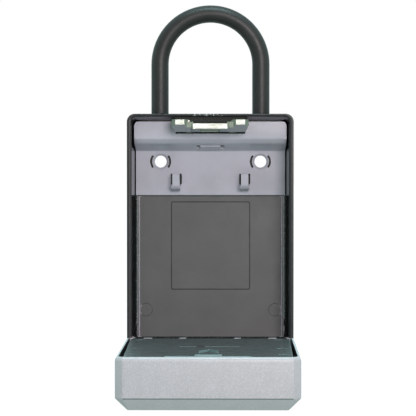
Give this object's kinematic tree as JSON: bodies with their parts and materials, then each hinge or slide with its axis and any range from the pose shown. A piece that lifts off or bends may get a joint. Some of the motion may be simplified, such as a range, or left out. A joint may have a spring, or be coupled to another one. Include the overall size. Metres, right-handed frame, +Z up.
{
  "type": "key lock box",
  "caption": "Portable key lock box: black casing with a shackle on top and key hooks inside, and a silver lid with code dials that folds down on a bottom hinge.",
  "frame": {"origin": "middle of the casing's flat rear face", "axes": "+Z up towards the shackle, +Y out of the rear face into the wall or door, +X to the right as seen from the front; the lid stands open towards -Y"},
  "size_m": [0.1058, 0.173, 0.2413],
  "materials": {
    "black_casting": "satin black paint over a zinc casting",
    "silver_casting": "fine metallic silver powder coat",
    "light_moulding": "light grey, fine grain",
    "dark_moulding": "mid grey, fine grain",
    "cover_moulding": "charcoal, fine grain",
    "black_moulding": "black, fine grain",
    "dial_moulding": "black with white digits",
    "shackle_coating": "black vinyl coating",
    "zinc_steel": "bright zinc plate",
    "sleeve_brass": "turned"
  },
  "bodies": {
    "casing": {"casing": "black_casting", "rear_liner": "dark_moulding", "hook_panel": "light_moulding", "strike": "zinc_steel", "hinge_pin": "zinc_steel", "strike_screw_left": "zinc_steel", "strike_screw_right": "zinc_steel", "mounting_plug_left": "dark_moulding", "mounting_plug_right": "dark_moulding"},
    "shackle": {"shackle_bar": "zinc_steel", "shackle_sleeve": "shackle_coating"},
    "shackle_lock": {"shackle_lock_plate": "zinc_steel", "shackle_release_tab": "light_moulding"},
    "lid": {"lid_shell": "silver_casting", "inner_cover": "cover_moulding", "dial_shaft": "zinc_steel", "dial_detent_spring": "zinc_steel", "dial_bezel": "black_moulding", "cover_screw_left_1": "zinc_steel", "cover_screw_left_2": "zinc_steel", "cover_screw_left_3": "zinc_steel", "cover_screw_right_1": "zinc_steel", "cover_screw_right_2": "zinc_steel", "cover_screw_right_3": "zinc_steel"},
    "dial_1": {"dial_1": "dial_moulding", "dial_sleeve_1": "sleeve_brass"},
    "dial_2": {"dial_2": "dial_moulding", "dial_sleeve_2": "sleeve_brass"},
    "dial_3": {"dial_3": "dial_moulding", "dial_sleeve_3": "sleeve_brass"},
    "dial_4": {"dial_4": "dial_moulding", "dial_sleeve_4": "sleeve_brass"},
    "latch": {"latch_plate": "zinc_steel", "opening_knob": "black_moulding", "knob_screw": "zinc_steel", "latch_spring_left": "zinc_steel", "latch_spring_right": "zinc_steel"},
    "weather_cover": {"weather_cover": "black_moulding"},
    "code_lever": {"code_lever": "black_moulding"}
  },
  "joints": [
    {"name": "shackle_lift", "type": "slide", "parent": "casing", "child": "shackle", "axis": [0, 0, 1], "range_m": [0, 0.03]},
    {"name": "shackle_lock_slide", "type": "slide", "parent": "casing", "child": "shackle_lock", "axis": [1, 0, 0], "range_m": [0, 0.0024]},
    {"name": "lid_hinge", "type": "hinge", "parent": "casing", "child": "lid", "pos_m": [0, -0.0297, -0.0703], "axis": [1, 0, 0], "range_deg": [-90, 0]},
    {"name": "dial_1_spin", "type": "hinge", "parent": "lid", "child": "dial_1", "pos_m": [-0.0156, -0.1117, -0.08565], "axis": [1, 0, 0], "continuous": true},
    {"name": "dial_2_spin", "type": "hinge", "parent": "lid", "child": "dial_2", "pos_m": [-0.0052, -0.1117, -0.08565], "axis": [1, 0, 0], "continuous": true},
    {"name": "dial_3_spin", "type": "hinge", "parent": "lid", "child": "dial_3", "pos_m": [0.0052, -0.1117, -0.08565], "axis": [1, 0, 0], "continuous": true},
    {"name": "dial_4_spin", "type": "hinge", "parent": "lid", "child": "dial_4", "pos_m": [0.0156, -0.1117, -0.08565], "axis": [1, 0, 0], "continuous": true},
    {"name": "latch_slide", "type": "slide", "parent": "lid", "child": "latch", "axis": [0, 1, 0], "range_m": [0, 0.004]},
    {"name": "weather_cover_slide", "type": "slide", "parent": "lid", "child": "weather_cover", "axis": [0, -1, 0], "range_m": [0, 0.05]},
    {"name": "code_lever_slide", "type": "slide", "parent": "lid", "child": "code_lever", "axis": [1, 0, 0], "range_m": [0, 0.01]}
  ]
}
